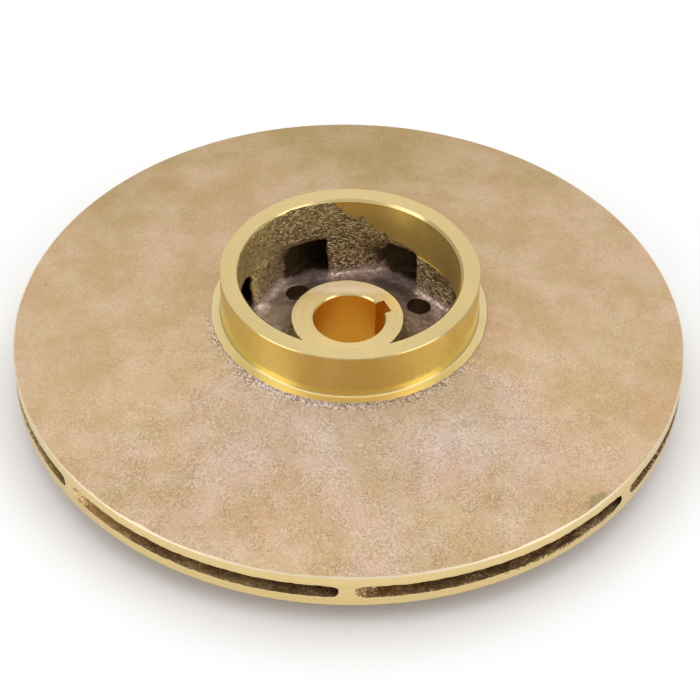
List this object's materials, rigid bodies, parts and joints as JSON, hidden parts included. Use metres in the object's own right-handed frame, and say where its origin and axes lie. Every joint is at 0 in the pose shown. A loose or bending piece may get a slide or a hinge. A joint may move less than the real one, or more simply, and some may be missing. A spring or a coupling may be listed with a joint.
{
  "type": "closed centrifugal pump impeller",
  "caption": "Closed centrifugal pump impeller in cast bronze, with curved vanes between two shrouds, a machined eye ring, a keyed hub and balance holes.",
  "frame": {"origin": "on the shaft's axis, in the plane of the back ring's face, on which the impeller rests", "axes": "+Z along the shaft axis towards the eye, -Y towards the viewer of the picture, with one vane's outer end at -Y"},
  "size_m": [0.2414, 0.2414, 0.0499],
  "materials": {
    "bronze": "as cast on the shrouds and in the waterway, fine turned on the rim, ring and hub"
  },
  "bodies": {
    "root": {"impeller": "bronze"}
  },
  "joints": []
}
